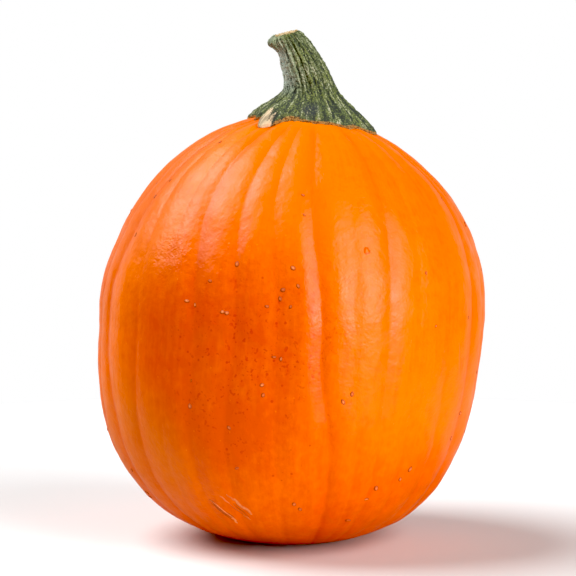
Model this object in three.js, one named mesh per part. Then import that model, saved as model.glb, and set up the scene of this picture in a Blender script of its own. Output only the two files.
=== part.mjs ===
// A ripe pumpkin with its dried stem, in millimetres, +Z up.
// The origin is the middle of the small flat spot that the fruit stands on.
// The front is -Y. Azimuths are in degrees from the front towards +X, and a latitude is
// 0 at the belly, 90 at the crown and negative below the belly.
import * as THREE from "three";

// Driving dimensions of the fruit
const BELLY_RADIUS = 114;
const CROWN_RISE = 119.5; // from the belly up to the crown, where the ribs meet
const BASE_DROP = 132.5; // from the belly down to the lowest point of the rounded base
const BASE_FULLNESS = 2.6; // exponent of the base's outline: the crown's is 2, an ellipse, and more is squarer
const BELLY_BLEND = 25; // degrees above and below the belly in which one outline becomes the other
const FLAT_SPOT_RADIUS = 24;
const CROWN_SHIFT = 12; // the crown stands this far to the right of the base
const CROWN_SLOPE = 0.125; // and its surface falls this much towards the right
const CROWN_BEND = 1.6; // how late the body starts to lean, as an exponent
const BELLY_SAG = -3.5; // the lower half swells this far to the left

// Ribs and the furrows between them
const FURROW_WIDTH = 3.6; // degrees from a furrow's floor to where it has mostly gone
const FURROW_SHARPNESS = 1.3; // exponent of its sides: 1 is a sharp V and 2 is a round trough
const RIB_SWELL = 0.5; // how far a rib's back stands out between two furrows
const CROWN_TURN_LATITUDE = 45; // a furrow has turned aside all it will this far above the belly
const BASE_TURN_LATITUDE = 24; // and this far below it
const DEPTH_BLEND = 25; // degrees above and below the belly in which the depths change over
const CROWN_FADE = { none: 22, full: 46 }; // radii at which the ribs begin and are full, near the stem
const BASE_FADE = { none: 26, full: 60 }; // and near the flat spot

// Furrows of the front half. Each has its azimuth at the belly, how far it turns aside towards the
// crown and towards the base, in degrees, and how deep it is above and below the belly, in mm.
const FRONT_FURROWS = [
  { azimuth: -69.5, crownTurn: 4, baseTurn: 5, upper: 1.9, lower: 1.6 },
  { azimuth: -50.5, crownTurn: -5, baseTurn: -0.5, upper: 0.6, lower: 1.3 },
  { azimuth: -40, crownTurn: -3, baseTurn: 0, upper: 0.4, lower: 0.25 },
  { azimuth: -28.7, crownTurn: -6, baseTurn: -1, upper: 1.8, lower: 0.35 },
  { azimuth: -16.3, crownTurn: -4.5, baseTurn: -2, upper: 1.5, lower: 0.4 },
  { azimuth: -4, crownTurn: -6, baseTurn: 1, upper: 1.2, lower: 0.2 },
  { azimuth: 8.3, crownTurn: -5, baseTurn: 5, upper: 1.8, lower: 1.3 },
  { azimuth: 17.5, crownTurn: 0, baseTurn: 4, upper: 0.35, lower: 0.2 },
  { azimuth: 28.6, crownTurn: 2, baseTurn: 0, upper: 1.4, lower: 0.4 },
  { azimuth: 39, crownTurn: 2, baseTurn: 0, upper: 0.15, lower: 0.15 },
  { azimuth: 51.5, crownTurn: 2, baseTurn: 0.5, upper: 0.7, lower: 0.5 },
  { azimuth: 66, crownTurn: 4, baseTurn: 0, upper: 1.3, lower: 1.2 },
  { azimuth: 79, crownTurn: -3, baseTurn: 3, upper: 1.0, lower: 0.8 },
];
// The back goes on at the same pitch, with every third furrow deep. A furrow there strays from its
// place by up to BACK_JITTER degrees and turns aside by up to BACK_TURN.
const BACK_FURROWS = 15;
const BACK_DEPTHS = [1.7, 0.6, 1.1];
const BACK_JITTER = 2.2;
const BACK_TURN = 3;

// Driving dimensions of the stem
const STEM_HEIGHT = 48.2;
const STEM_LEAN = -15.2; // how far the cut end stands to the left of the foot
const STEM_NOD = -2; // and how far towards the front
const NECK_RADIUS = 15.6; // just above the foot
const CUT_RADIUS = 7.6; // at the cut end
const FOOT_RIM = 29; // the foot's radius between its lobes
const FOOT_HEIGHT = 8.5; // height in which most of the foot's spread is gone
const STALK_BLEND = { from: 2, to: 16 }; // levels between which it leaves the crown's curve for the stalk's
const CUT_TILT = -14; // degrees, the cut end falls to the left
const CUT_PITCH = 4; // degrees, and a little to the front
const CUT_DEPTH = 2; // the cut end's middle is hollowed by this much
const LIP = { azimuth: -90, reach: 4.6, width: 40, level: 44.7, height: 3.7 }; // it hangs over on the left
const GAP = 0.3; // between the foot's underside and the crown

// Lobes of the foot, each with the azimuth it points to, how far it reaches past FOOT_RIM, and
// its half width in degrees.
const FOOT_LOBES = [
  { azimuth: -150, reach: 8, width: 17 },
  { azimuth: -108, reach: 10, width: 19 },
  { azimuth: -66, reach: 6, width: 14 },
  { azimuth: -41, reach: 15.5, width: 10 },
  { azimuth: 6, reach: 0.5, width: 12 },
  { azimuth: 42, reach: 4.5, width: 8 },
  { azimuth: 82, reach: 10, width: 20 },
  { azimuth: 122, reach: 8, width: 14 },
  { azimuth: 165, reach: 10, width: 15 },
];
const STEM_RIDGES = 20;
const RIDGE_HEIGHTS = [1.3, 0.5, 0.9, 0.6];
const RIDGE_JITTER = 3;
const RIDGE_START = 3; // level at which the ridges are full

// How finely the surfaces are cut into faces
const FRUIT_ROWS = 30;
const SPANS_PER_RIB = [0, 0.24, 0.5, 0.76]; // shares of the way from one furrow to the next
const STEM_LEVELS = [GAP, 1.3, 2.6, 4, 5.6, 7.2, 8.8, 10.6, 13, 16, 20, 24, 28, 32, 36.5, 40.5, 44.5, STEM_HEIGHT];
const SPANS_PER_RIDGE = [0, 0.34, 0.67];
const UNDERSIDE_RINGS = [0.34, 0.68];
const CUT_RINGS = [{ share: 0.8, dip: 0.5 }, { share: 0.4, dip: 1.6 }];

const SEED = 7;

// A seeded generator of numbers from 0 to 1.
function randomFrom(seed) {
  let state = seed;
  return () => {
    state = (state + 0x6d2b79f5) | 0;
    let t = Math.imul(state ^ (state >>> 15), 1 | state);
    t = (t + Math.imul(t ^ (t >>> 7), 61 | t)) ^ t;
    return ((t ^ (t >>> 14)) >>> 0) / 4294967296;
  };
}

const radians = THREE.MathUtils.degToRad;
const degrees = THREE.MathUtils.radToDeg;
const rise = (x, from, to) => THREE.MathUtils.smoothstep(x, from, to);
const bell = (x, width) => Math.exp(-((x / width) ** 2));
const turnsApart = (a, b) => ((((a - b) % 360) + 540) % 360) - 180;

// All furrows, going round from the first one at the left edge of the front.
function makeFurrows() {
  const random = randomFrom(SEED);
  const stray = (most) => most * (2 * random() - 1);
  const last = FRONT_FURROWS[FRONT_FURROWS.length - 1].azimuth;
  const pitch = (FRONT_FURROWS[0].azimuth + 360 - last) / (BACK_FURROWS + 1);
  const back = Array.from({ length: BACK_FURROWS }, (_, k) => {
    const depth = BACK_DEPTHS[(k + 1) % BACK_DEPTHS.length];
    return {
      azimuth: last + pitch * (k + 1) + stray(BACK_JITTER),
      crownTurn: stray(BACK_TURN),
      baseTurn: stray(BACK_TURN),
      upper: depth * (0.8 + 0.4 * random()),
      lower: depth * (0.7 + 0.3 * random()),
    };
  });
  return [...FRONT_FURROWS, ...back];
}
const furrows = makeFurrows();

// A furrow's azimuth at a latitude.
function furrowAzimuth(furrow, latitude) {
  if (latitude > 0) return furrow.azimuth + furrow.crownTurn * rise(latitude, 0, CROWN_TURN_LATITUDE);
  return furrow.azimuth + furrow.baseTurn * rise(-latitude, 0, BASE_TURN_LATITUDE);
}

// The latitude at which the base's outline is as wide as the flat spot, and the belly's height over it.
const BASE_POWER = 2 / BASE_FULLNESS;
const FLAT_LATITUDE = -degrees(Math.acos((FLAT_SPOT_RADIUS / BELLY_RADIUS) ** (1 / BASE_POWER)));
const BELLY_HEIGHT = BASE_DROP * Math.abs(Math.sin(radians(FLAT_LATITUDE))) ** BASE_POWER;

// A point on the fruit's skin, from its azimuth and latitude, with the skin pushed out by relief.
function skinPoint(azimuth, latitude, relief = 0) {
  const t = radians(azimuth);
  const a = radians(latitude);
  const power = 1 - (1 - BASE_POWER) * rise(-latitude, -BELLY_BLEND, BELLY_BLEND);
  const radius = (BELLY_RADIUS + relief) * Math.cos(a) ** power;
  const up = Math.sign(a) * Math.abs(Math.sin(a)) ** power;
  const height = (up > 0 ? CROWN_RISE : BASE_DROP) * up + relief * up;
  const crownward = Math.max(up, 0) ** CROWN_BEND;
  const sag = Math.sin(Math.PI * Math.max(-up, 0));
  const x = radius * Math.sin(t);
  return new THREE.Vector3(
    x + CROWN_SHIFT * crownward + BELLY_SAG * sag,
    -radius * Math.cos(t),
    BELLY_HEIGHT + height - CROWN_SLOPE * x * crownward,
  );
}

// How much the ribs show at a latitude: not at all under the foot or on the flat spot.
function ribShow(latitude) {
  const radius = BELLY_RADIUS * Math.cos(radians(latitude));
  const fade = latitude > 0 ? CROWN_FADE : BASE_FADE;
  return rise(radius, fade.none, fade.full);
}

// Height of the skin between two furrows, at a share of the way from one to the other.
function ribRelief(left, right, share, latitude) {
  const span = furrowAzimuth(right, latitude) - furrowAzimuth(left, latitude);
  const mix = rise(latitude, -DEPTH_BLEND, DEPTH_BLEND);
  const valley = ({ lower, upper }, away) =>
    (lower + (upper - lower) * mix) * Math.exp(-((away / FURROW_WIDTH) ** FURROW_SHARPNESS));
  const floor = valley(left, span * share) + valley(right, span * (1 - share));
  return (RIB_SWELL * Math.sin(Math.PI * share) - floor) * ribShow(latitude);
}

// A closed solid from rings of points that go round the same way, low ring first, and its two end points.
function solidFromRings(rings, lowEnd, highEnd) {
  const count = rings[0].length;
  const points = [...rings.flat(), lowEnd, highEnd];
  const low = points.length - 2;
  const high = points.length - 1;
  const faces = [];
  for (let r = 0; r < rings.length; r++) {
    for (let c = 0; c < count; c++) {
      const next = (c + 1) % count;
      const a = r * count + c;
      const b = r * count + next;
      if (r === 0) faces.push(low, b, a);
      if (r === rings.length - 1) faces.push(a, b, high);
      else faces.push(a, b, b + count, a, b + count, a + count);
    }
  }
  const geometry = new THREE.BufferGeometry();
  geometry.setAttribute("position", new THREE.Float32BufferAttribute(points.flatMap((p) => p.toArray()), 3));
  geometry.setIndex(faces);
  geometry.computeVertexNormals();
  return geometry;
}

// The fruit: rows of points from the flat spot's edge up to the crown, with a column in every furrow.
function makeFruit() {
  const rings = [];
  for (let row = 0; row < FRUIT_ROWS; row++) {
    const latitude = FLAT_LATITUDE + ((90 - FLAT_LATITUDE) * row) / FRUIT_ROWS;
    const ring = [];
    furrows.forEach((left, k) => {
      const after = furrows[(k + 1) % furrows.length];
      const right = k + 1 < furrows.length ? after : { ...after, azimuth: after.azimuth + 360 };
      const from = furrowAzimuth(left, latitude);
      const to = furrowAzimuth(right, latitude);
      for (const share of SPANS_PER_RIB) {
        const relief = ribRelief(left, right, share, latitude);
        ring.push(skinPoint(from + (to - from) * share, latitude, relief));
      }
    });
    rings.push(ring);
  }
  rings[0].forEach((p) => p.setZ(0));
  return solidFromRings(rings, new THREE.Vector3(), skinPoint(0, 90));
}

// How far the foot reaches at an azimuth.
function footReach(azimuth) {
  return FOOT_LOBES.reduce(
    (reach, lobe) => reach + lobe.reach * bell(turnsApart(azimuth, lobe.azimuth), lobe.width),
    FOOT_RIM,
  );
}

// A point at a radius from the crown's middle, raised over the backs of the ribs.
function overCrown(azimuth, radius, raised) {
  const latitude = degrees(Math.acos(Math.min(radius / BELLY_RADIUS, 1)));
  const p = skinPoint(azimuth, latitude, RIB_SWELL * ribShow(latitude));
  return p.setZ(p.z + raised);
}

// A point on the stalk: its cross-sections turn from the crown's slope to the cut end's.
function onStalk(azimuth, radius, level) {
  const share = level / STEM_HEIGHT;
  const crownTilt = Math.atan(CROWN_SLOPE);
  const tilt = crownTilt + (radians(CUT_TILT) - crownTilt) * share;
  const pitch = radians(CUT_PITCH) * share;
  const t = radians(azimuth);
  const x = radius * Math.sin(t);
  const y = -radius * Math.cos(t);
  const crown = skinPoint(0, 90);
  return new THREE.Vector3(
    crown.x + STEM_LEAN * share ** 2 + x * Math.cos(tilt),
    crown.y + STEM_NOD * share ** 2 + y * Math.cos(pitch),
    crown.z + level - x * Math.sin(tilt) + y * Math.sin(pitch),
  );
}

// The stem's radius at an azimuth and level, before the ridges.
function stemRadius(azimuth, level) {
  const neck = NECK_RADIUS + (CUT_RADIUS - NECK_RADIUS) * (level / STEM_HEIGHT) ** 2;
  const spread = (footReach(azimuth) - neck) * bell(level, FOOT_HEIGHT);
  const lip = LIP.reach * bell(turnsApart(azimuth, LIP.azimuth), LIP.width) * bell(level - LIP.level, LIP.height);
  return neck + spread + lip;
}

// A point on the stem's side, which lies over the crown at the foot and leaves it for the stalk.
function stemPoint(azimuth, level, ridge) {
  const radius = stemRadius(azimuth, level) + ridge * rise(level, 0, RIDGE_START);
  const foot = overCrown(azimuth, radius, level);
  return foot.lerp(onStalk(azimuth, radius, level), rise(level, STALK_BLEND.from, STALK_BLEND.to));
}

// The stem: from the middle of its underside out to the rim, up the ridged sides and in over the cut end.
function makeStem() {
  const random = randomFrom(SEED + 1);
  const ridges = Array.from({ length: STEM_RIDGES }, (_, k) => ({
    azimuth: (360 / STEM_RIDGES) * k + RIDGE_JITTER * (2 * random() - 1),
    height: RIDGE_HEIGHTS[k % RIDGE_HEIGHTS.length] * (0.85 + 0.3 * random()),
  }));
  const columns = ridges.flatMap((ridge, k) => {
    const next = k + 1 < ridges.length ? ridges[k + 1].azimuth : ridges[0].azimuth + 360;
    return SPANS_PER_RIDGE.map((share) => ({
      azimuth: ridge.azimuth + (next - ridge.azimuth) * share,
      ridge: ridge.height * (Math.sin(Math.PI * share) - 0.5),
    }));
  });
  const underside = UNDERSIDE_RINGS.map((share) =>
    columns.map(({ azimuth }) => overCrown(azimuth, share * stemRadius(azimuth, GAP), GAP)),
  );
  const sides = STEM_LEVELS.map((level) => columns.map(({ azimuth, ridge }) => stemPoint(azimuth, level, ridge)));
  const cutFace = CUT_RINGS.map(({ share, dip }) =>
    columns.map(({ azimuth }) => onStalk(azimuth, share * stemRadius(azimuth, STEM_HEIGHT), STEM_HEIGHT - dip)),
  );
  return solidFromRings(
    [...underside, ...sides, ...cutFace],
    overCrown(0, 0, GAP),
    onStalk(0, 0, STEM_HEIGHT - CUT_DEPTH),
  );
}

const skinMaterial = new THREE.MeshStandardMaterial({ color: 0xf26a0a, roughness: 0.35, metalness: 0 });
const stemMaterial = new THREE.MeshStandardMaterial({ color: 0x4a5638, roughness: 0.85, metalness: 0 });

const fruit = new THREE.Mesh(makeFruit(), skinMaterial);
fruit.name = "fruit";

const stem = new THREE.Mesh(makeStem(), stemMaterial);
stem.name = "stem";

const pumpkin = new THREE.Group();
pumpkin.add(fruit, stem);

export default pumpkin;
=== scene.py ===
import math

import bpy
import numpy as np
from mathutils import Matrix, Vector
from mathutils.bvhtree import BVHTree


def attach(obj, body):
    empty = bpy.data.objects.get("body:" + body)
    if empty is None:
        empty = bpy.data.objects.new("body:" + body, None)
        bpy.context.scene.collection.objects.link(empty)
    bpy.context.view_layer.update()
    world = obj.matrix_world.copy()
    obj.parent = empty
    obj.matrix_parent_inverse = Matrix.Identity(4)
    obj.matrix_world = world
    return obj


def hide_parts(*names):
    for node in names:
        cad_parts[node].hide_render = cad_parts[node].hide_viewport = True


# A ripe pumpkin with its dried stem. The front is -Y. Azimuths are in degrees from the front towards +X,
# and a latitude is 0 at the belly, 90 at the crown and negative below the belly.
# Shapes are worked out in millimetres and become metres when a mesh is made.

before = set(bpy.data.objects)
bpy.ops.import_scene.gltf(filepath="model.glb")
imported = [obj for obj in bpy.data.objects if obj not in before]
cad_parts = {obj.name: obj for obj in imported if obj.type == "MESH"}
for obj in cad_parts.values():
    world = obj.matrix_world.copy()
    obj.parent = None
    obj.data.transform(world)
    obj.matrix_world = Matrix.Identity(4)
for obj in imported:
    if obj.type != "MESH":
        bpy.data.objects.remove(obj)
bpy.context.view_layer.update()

MM = 0.001

# The fruit, as in the solids
BELLY_RADIUS = 114
CROWN_RISE = 119.5
BASE_DROP = 132.5
BASE_FULLNESS = 2.6
BELLY_BLEND = 25
FLAT_SPOT_RADIUS = 24
CROWN_SHIFT = 12
CROWN_SLOPE = 0.125
CROWN_BEND = 1.6
BELLY_SAG = -3.5
FURROW_WIDTH = 3.6
FURROW_SHARPNESS = 1.3
RIB_SWELL = 0.5
CROWN_TURN_LATITUDE = 45
BASE_TURN_LATITUDE = 24
DEPTH_BLEND = 25
CROWN_FADE = (22, 46)
BASE_FADE = (26, 60)

# Furrows of the front half: azimuth, turn towards the crown, turn towards the base, depth above the belly
# and depth below it.
FRONT_FURROWS = [
    (-69.5, 4, 5, 1.9, 1.6),
    (-50.5, -5, -0.5, 0.6, 1.3),
    (-40, -3, 0, 0.4, 0.25),
    (-28.7, -6, -1, 1.8, 0.35),
    (-16.3, -4.5, -2, 1.5, 0.4),
    (-4, -6, 1, 1.2, 0.2),
    (8.3, -5, 5, 1.8, 1.3),
    (17.5, 0, 4, 0.35, 0.2),
    (28.6, 2, 0, 1.4, 0.4),
    (39, 2, 0, 0.15, 0.15),
    (51.5, 2, 0.5, 0.7, 0.5),
    (66, 4, 0, 1.3, 1.2),
    (79, -3, 3, 1.0, 0.8),
]
BACK_FURROWS = 15
BACK_DEPTHS = (1.7, 0.6, 1.1)
BACK_JITTER = 2.2
BACK_TURN = 3

# The stem, as in the solids
STEM_HEIGHT = 48.2
STEM_LEAN = -15.2
STEM_NOD = -2
NECK_RADIUS = 15.6
CUT_RADIUS = 7.6
FOOT_RIM = 29
FOOT_HEIGHT = 8.5
STALK_BLEND = (2, 16)
CUT_TILT = -14
CUT_PITCH = 4
CUT_DEPTH = 2
LIP_AZIMUTH, LIP_REACH, LIP_WIDTH, LIP_LEVEL, LIP_HEIGHT = -90, 4.6, 40, 44.7, 3.7
# Lobes of the foot: azimuth, reach past FOOT_RIM, half width in degrees.
FOOT_LOBES = [
    (-150, 8, 17),
    (-108, 10, 19),
    (-66, 6, 14),
    (-41, 15.5, 10),
    (6, 0.5, 12),
    (42, 4.5, 8),
    (82, 10, 20),
    (122, 8, 14),
    (165, 10, 15),
]
STEM_RIDGES = 20
RIDGE_HEIGHTS = (1.3, 0.5, 0.9, 0.6)
RIDGE_JITTER = 3
RIDGE_START = 3
SEED = 7

# How finely the pieces are cut
COLUMN_STEP = 0.66  # degrees between two columns of the skin
SKIN_ROWS = 168
BASE_RINGS = 7  # rings on the flat spot
RIDGE_COLUMNS = 17  # columns of the bark to each ridge
BARK_LEVELS = 150
CUT_RINGS = 14

# The camera's view of the photo: it looks down by VIEW_FALL degrees, from VIEW_DISTANCE off the belly.
VIEW_FALL = 6
VIEW_DISTANCE = 1400
FRAME_WIDTH = 342.1  # what the frame takes in at that distance
AIM_ACROSS = -2.5  # the middle of the frame, across and up from the belly's centre
AIM_UP = 17.0


def rise(x, start, end):
    """The smooth way from 0 at start to 1 at end."""
    t = np.clip((x - start) / (end - start), 0, 1)
    return t * t * (3 - 2 * t)


def bell(x, width):
    """1 at zero, falling to nothing over a few widths."""
    return np.exp(-((x / width) ** 2))


def turns_apart(a, b):
    """The turn from b to a in degrees, from -180 to 180."""
    return (a - b + 180) % 360 - 180


def random_from(seed):
    """The solids' seeded generator of numbers from 0 to 1."""
    mask = 0xFFFFFFFF
    state = seed
    while True:
        state = (state + 0x6D2B79F5) & mask
        t = ((state ^ (state >> 15)) * (1 | state)) & mask
        t = ((t + ((t ^ (t >> 7)) * (61 | t))) ^ t) & mask
        yield (t ^ (t >> 14)) / 2**32


# Shape of the fruit

BASE_POWER = 2 / BASE_FULLNESS
FLAT_LATITUDE = -math.degrees(math.acos((FLAT_SPOT_RADIUS / BELLY_RADIUS) ** (1 / BASE_POWER)))
BELLY_HEIGHT = BASE_DROP * abs(math.sin(math.radians(FLAT_LATITUDE))) ** BASE_POWER


def furrow_table():
    """All furrows, one row each, going round from the first one at the left edge of the front."""
    numbers = random_from(SEED)
    first, last = FRONT_FURROWS[0][0], FRONT_FURROWS[-1][0]
    pitch = (first + 360 - last) / (BACK_FURROWS + 1)
    back = []
    for k in range(BACK_FURROWS):
        depth = BACK_DEPTHS[(k + 1) % len(BACK_DEPTHS)]
        azimuth = last + pitch * (k + 1) + BACK_JITTER * (2 * next(numbers) - 1)
        crown_turn = BACK_TURN * (2 * next(numbers) - 1)
        base_turn = BACK_TURN * (2 * next(numbers) - 1)
        upper = depth * (0.8 + 0.4 * next(numbers))
        lower = depth * (0.7 + 0.3 * next(numbers))
        back.append((azimuth, crown_turn, base_turn, upper, lower))
    return np.array(FRONT_FURROWS + back, float)


def furrow_azimuth(furrow, latitude):
    crown_turn = furrow[..., 1] * rise(latitude, 0, CROWN_TURN_LATITUDE)
    base_turn = furrow[..., 2] * rise(-latitude, 0, BASE_TURN_LATITUDE)
    return furrow[..., 0] + crown_turn + base_turn


def furrow_depth(furrow, latitude):
    mix = rise(latitude, -DEPTH_BLEND, DEPTH_BLEND)
    return furrow[..., 4] + (furrow[..., 3] - furrow[..., 4]) * mix


def skin_points(azimuth, latitude, relief=0.0):
    """Points on the fruit's skin, ribs left out, with the skin pushed out by relief."""
    t, a = np.radians(azimuth), np.radians(latitude)
    power = 1 - (1 - BASE_POWER) * rise(-latitude, -BELLY_BLEND, BELLY_BLEND)
    radius = (BELLY_RADIUS + relief) * np.cos(a) ** power
    up = np.sign(a) * np.abs(np.sin(a)) ** power
    height = (np.where(up > 0, CROWN_RISE, BASE_DROP) + relief) * up
    crownward = np.maximum(up, 0) ** CROWN_BEND
    sag = np.sin(np.pi * np.maximum(-up, 0))
    x = radius * np.sin(t)
    return np.stack(
        [
            x + CROWN_SHIFT * crownward + BELLY_SAG * sag,
            -radius * np.cos(t),
            BELLY_HEIGHT + height - CROWN_SLOPE * x * crownward,
        ],
        -1,
    )


def rib_show(latitude):
    """How much the ribs stand out: they fade towards both ends of the fruit."""
    radius = BELLY_RADIUS * np.cos(np.radians(latitude))
    return np.where(latitude > 0, rise(radius, *CROWN_FADE), rise(radius, *BASE_FADE))


# Shape of the stem

CROWN = skin_points(np.array(0.0), np.array(90.0))


def foot_reach(azimuth):
    """How far the foot, with its lobes, reaches out from the stem's axis."""
    reach = np.full(np.shape(azimuth), float(FOOT_RIM))
    for lobe_azimuth, lobe_reach, width in FOOT_LOBES:
        reach = reach + lobe_reach * bell(turns_apart(azimuth, lobe_azimuth), width)
    return reach


def over_crown(azimuth, radius, raised):
    """Points at a radius round the stem's axis, raised over the skin."""
    latitude = np.degrees(np.arccos(np.minimum(radius / BELLY_RADIUS, 1)))
    points = skin_points(azimuth, latitude, RIB_SWELL * rib_show(latitude))
    points[..., 2] += raised
    return points


def on_stalk(azimuth, radius, level):
    """Points on the leaning stalk, which tilts from the crown's slope to the cut end's."""
    share = level / STEM_HEIGHT
    crown_tilt = math.atan(CROWN_SLOPE)
    tilt = crown_tilt + (math.radians(CUT_TILT) - crown_tilt) * share
    pitch = math.radians(CUT_PITCH) * share
    t = np.radians(azimuth)
    x, y = radius * np.sin(t), -radius * np.cos(t)
    return np.stack(
        [
            CROWN[0] + STEM_LEAN * share**2 + x * np.cos(tilt),
            CROWN[1] + STEM_NOD * share**2 + y * np.cos(pitch),
            CROWN[2] + level - x * np.sin(tilt) + y * np.sin(pitch),
        ],
        -1,
    )


def stem_radius(azimuth, level):
    """The stem's radius, ridges left out."""
    neck = NECK_RADIUS + (CUT_RADIUS - NECK_RADIUS) * (level / STEM_HEIGHT) ** 2
    spread = (foot_reach(azimuth) - neck) * bell(level, FOOT_HEIGHT)
    lip = bell(turns_apart(azimuth, LIP_AZIMUTH), LIP_WIDTH) * bell(level - LIP_LEVEL, LIP_HEIGHT)
    return neck + spread + LIP_REACH * lip


def stem_points(azimuth, level, fray=0.0):
    radius = stem_radius(azimuth, level) + fray
    foot = over_crown(azimuth, radius, level)
    leave = rise(level, *STALK_BLEND)[..., None]
    return foot * (1 - leave) + on_stalk(azimuth, radius, level) * leave


# The view of the photo

FALL = math.radians(VIEW_FALL)
VIEW_BACK = Vector((0, -math.cos(FALL), math.sin(FALL)))
VIEW_UP = Vector((0, math.sin(FALL), math.cos(FALL)))
VIEW_RIGHT = Vector((1, 0, 0))
BELLY = Vector((0, 0, BELLY_HEIGHT))
EYE = BELLY + VIEW_BACK * VIEW_DISTANCE


def seen_at(tree, across, up):
    """The point of a piece, in mm, and its outward normal, that the camera sees at a place given in mm
    across and up from the belly's centre, in the plane that faces the camera there. Just past the outline
    it is the nearest point."""
    aim = BELLY + VIEW_RIGHT * across + VIEW_UP * up
    place, normal, _, _ = tree.ray_cast(EYE * MM, (aim - EYE).normalized())
    if place is None:
        place, normal, _, _ = tree.find_nearest(aim * MM)
    return place / MM, normal


# Meshes

def ring_mesh(name, rings, low_end, high_end, attributes):
    """A closed mesh from rings of points, low ring first, and its two end points. An attribute has a value
    for each point of the rings, and its last two values are the end points'."""
    count = rings.shape[1]
    points = np.concatenate([rings.reshape(-1, 3), [low_end], [high_end]]) * MM
    low, high = len(points) - 2, len(points) - 1
    a = np.arange(count)
    b = (a + 1) % count
    starts = (np.arange(len(rings) - 1) * count)[:, None]
    quads = np.stack([starts + a, starts + b, starts + b + count, starts + a + count], -1).reshape(-1, 4)
    top = (len(rings) - 1) * count
    caps = np.concatenate(
        [
            np.stack([np.full(count, low), b, a], -1),
            np.stack([top + a, top + b, np.full(count, high)], -1),
        ]
    )
    mesh = bpy.data.meshes.new(name)
    mesh.from_pydata(points.tolist(), [], quads.tolist() + caps.tolist())
    for key, values in attributes.items():
        add_attribute(mesh, key, values)
    mesh.shade_smooth()
    mesh.update()
    return mesh


def add_attribute(mesh, key, values):
    values = np.asarray(values, np.float32)
    if values.ndim == 2:
        mesh.attributes.new(key, "FLOAT_VECTOR", "POINT").data.foreach_set("vector", values.ravel())
    else:
        mesh.attributes.new(key, "FLOAT", "POINT").data.foreach_set("value", values)


def with_ends(values):
    """Values on rings, flattened, with the two end points given their own ring's mean."""
    flat = values.reshape(-1, *values.shape[2:])
    return np.concatenate([flat, [values[0].mean(0)], [values[-1].mean(0)]])


def add_object(name, mesh):
    piece = bpy.data.objects.new(name, mesh)
    bpy.context.scene.collection.objects.link(piece)
    return piece


def surface_of(mesh):
    """A search tree for a mesh, in metres."""
    return BVHTree.FromPolygons([v.co for v in mesh.vertices], [tuple(p.vertices) for p in mesh.polygons])


def add_patches(mesh, tree, patches):
    """Marks round patches on a mesh, each in an attribute of its own."""
    points = np.array([v.co for v in mesh.vertices]) / MM
    for key, (across, up, radius, strength, full) in patches.items():
        centre, _ = seen_at(tree, across, up)
        away = np.linalg.norm(points - np.array(centre), axis=1)
        add_attribute(mesh, key, strength * (1 - rise(away, full * radius, radius)))


# Node trees

class Maker:
    """Adds nodes to a tree. A plain value is set on its socket, and another node's output is linked."""

    def __init__(self, tree):
        self.tree = tree

    def put(self, socket, value):
        if isinstance(value, bpy.types.NodeSocket):
            self.tree.links.new(value, socket)
        else:
            socket.default_value = value

    def add(self, kind, inputs=None, **settings):
        node = self.tree.nodes.new(kind)
        for key, value in settings.items():
            setattr(node, key, value)
        for key, value in (inputs or {}).items():
            self.put(node.inputs[key], value)
        return node

    def math(self, operation, *values):
        node = self.add("ShaderNodeMath", dict(enumerate(values)), operation=operation)
        return node.outputs[0]

    def product(self, *values):
        total = values[0]
        for value in values[1:]:
            total = self.math("MULTIPLY", total, value)
        return total

    def sum(self, *values):
        total = values[0]
        for value in values[1:]:
            total = self.math("ADD", total, value)
        return total

    def swing(self, value, amount):
        """A value from 0 to 1 made to swing round zero, by half the amount each way."""
        return self.product(self.math("SUBTRACT", value, 0.5), amount)

    def scaled(self, vector, factor):
        node = self.add("ShaderNodeVectorMath", {0: vector}, operation="SCALE")
        self.put(node.inputs["Scale"], factor)
        return node.outputs[0]

    def stretched(self, vector, factors):
        return self.add("ShaderNodeVectorMath", {0: vector, 1: factors}, operation="MULTIPLY").outputs[0]

    def between(self, value, low, high, to_low=0.0, to_high=1.0):
        """The value's smooth way from low to high, as a number from to_low to to_high."""
        inputs = {0: value, 1: low, 2: high, 3: to_low, 4: to_high}
        return self.add("ShaderNodeMapRange", inputs, interpolation_type="SMOOTHSTEP").outputs[0]

    def noise(self, vector, scale, detail=2.0, roughness=0.5, seed=0.0, distortion=0.0):
        inputs = {
            "Vector": vector,
            "Scale": scale,
            "Detail": detail,
            "Roughness": roughness,
            "Distortion": distortion,
            "W": seed,
        }
        return self.add("ShaderNodeTexNoise", inputs, noise_dimensions="4D").outputs[0]

    def mixed(self, factor, first, second):
        """Two colours mixed."""
        node = self.add("ShaderNodeMix", data_type="RGBA", blend_type="MIX")
        sockets = {socket.identifier: socket for socket in node.inputs}
        self.put(sockets["Factor_Float"], factor)
        self.put(sockets["A_Color"], first)
        self.put(sockets["B_Color"], second)
        return next(socket for socket in node.outputs if socket.identifier == "Result_Color")


def geometry_tree(name, inputs):
    """A Geometry Nodes tree with its maker, and the outputs of its inputs by name."""
    kinds = {float: "NodeSocketFloat", int: "NodeSocketInt", bpy.types.Material: "NodeSocketMaterial"}
    tree = bpy.data.node_groups.new(name, "GeometryNodeTree")
    tree.interface.new_socket("Geometry", in_out="INPUT", socket_type="NodeSocketGeometry")
    for label, value in inputs.items():
        tree.interface.new_socket(label, in_out="INPUT", socket_type=kinds[type(value)])
    tree.interface.new_socket("Geometry", in_out="OUTPUT", socket_type="NodeSocketGeometry")
    maker = Maker(tree)
    given = maker.add("NodeGroupInput").outputs
    return tree, maker, given


def close_tree(maker, given, geometry):
    """Ends a tree in Realize Instances and Set Material."""
    real = maker.add("GeometryNodeRealizeInstances", {"Geometry": geometry}).outputs[0]
    done = maker.add("GeometryNodeSetMaterial", {"Geometry": real, "Material": given["Material"]})
    maker.add("NodeGroupOutput", {"Geometry": done.outputs[0]})


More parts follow.
